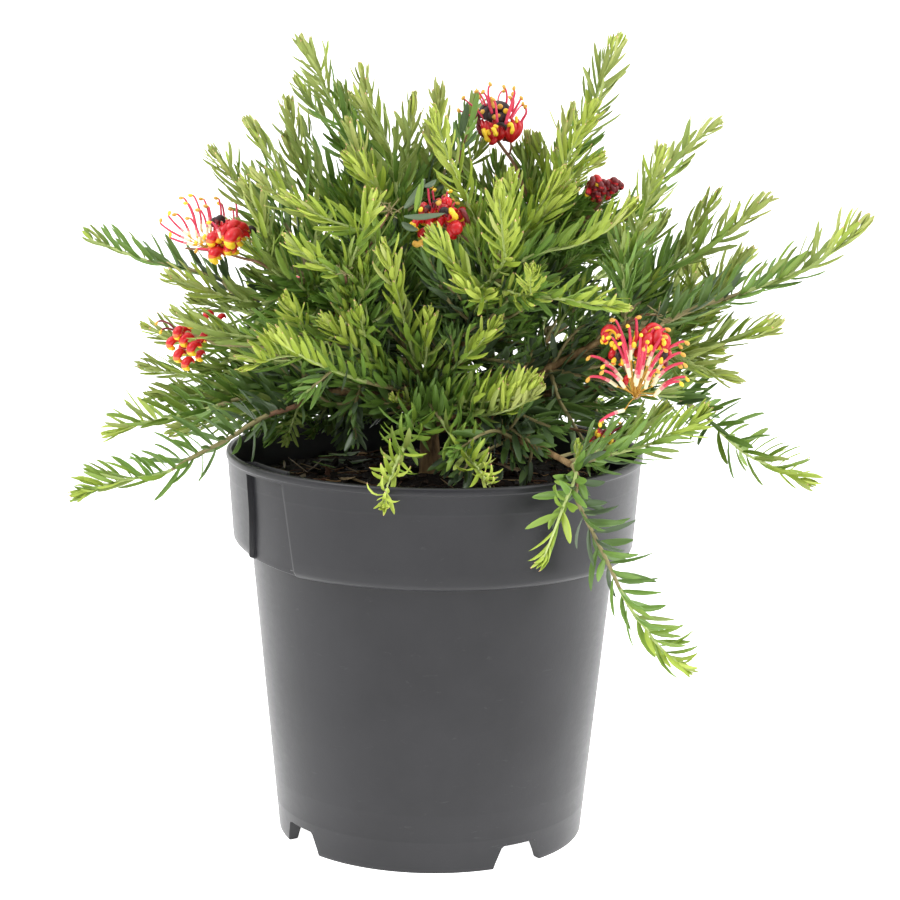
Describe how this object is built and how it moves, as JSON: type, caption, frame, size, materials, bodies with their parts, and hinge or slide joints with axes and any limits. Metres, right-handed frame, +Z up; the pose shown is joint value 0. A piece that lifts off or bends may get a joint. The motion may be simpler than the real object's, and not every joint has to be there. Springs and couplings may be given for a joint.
{
  "type": "potted fireworks grevillea shrub",
  "caption": "Small flowering shrub with narrow leaves on bushy, upswept shoots and spidery red and yellow blossom, growing in a round dark plastic nursery pot with notches in its foot.",
  "frame": {"origin": "centre of the pot's flat underside, on the ground", "axes": "+Z up along the pot's axis; the picture looks along +Y, so -Y is the side it shows and +X is to its right"},
  "size_m": [0.354, 0.2467, 0.3672],
  "materials": {
    "pot_plastic": "satin",
    "potting_mix": "matte",
    "bark": "matte",
    "old_leaf": "matte",
    "leaf": "satin"
  },
  "bodies": {
    "root": {"bough_back": "bark", "bough_back_left": "bark", "bough_back_right": "bark", "bough_centre": "bark", "bough_front_right": "bark", "bough_left_front": "bark", "bough_left_high": "bark", "bough_left_low": "bark", "bough_right": "bark", "bough_right_low": "bark", "bough_top_left": "bark", "bough_top_right": "bark", "clump_back": "old_leaf", "clump_centre": "old_leaf", "clump_left": "old_leaf", "clump_left_front": "old_leaf", "clump_right": "old_leaf", "clump_top_left": "old_leaf", "clump_top_right": "old_leaf", "leaves_back_1": "leaf", "leaves_back_2": "leaf", "leaves_back_3": "leaf", "leaves_back_4": "leaf", "leaves_back_5": "leaf", "leaves_back_6": "leaf", "leaves_back_7": "leaf", "leaves_back_8": "leaf", "leaves_centre_upper": "leaf", "leaves_front_droop": "leaf", "leaves_front_left_high": "leaf", "leaves_front_left_long": "leaf", "leaves_front_middle": "leaf", "leaves_front_right_fan": "leaf", "leaves_front_upright": "leaf", "leaves_left_front": "leaf", "leaves_left_high": "leaf", "leaves_left_long": "leaf", "leaves_left_low": "leaf", "leaves_left_mid": "leaf", "leaves_left_reach": "leaf", "leaves_left_upper": "leaf", "leaves_right_droop": "leaf", "leaves_right_high": "leaf", "leaves_right_long": "leaf", "leaves_right_mid": "leaf", "leaves_right_upper": "leaf", "leaves_right_upright": "leaf", "leaves_rim_hanging_long": "leaf", "leaves_rim_hanging_short": "leaf", "leaves_rim_right": "leaf", "leaves_top_left_inner": "leaf", "leaves_top_left_low": "leaf", "leaves_top_left_tall": "leaf", "leaves_top_middle": "leaf", "leaves_top_right_full": "leaf", "leaves_top_right_tall": "leaf", "pot": "pot_plastic", "soil": "potting_mix", "trunk": "bark"}
  },
  "joints": []
}
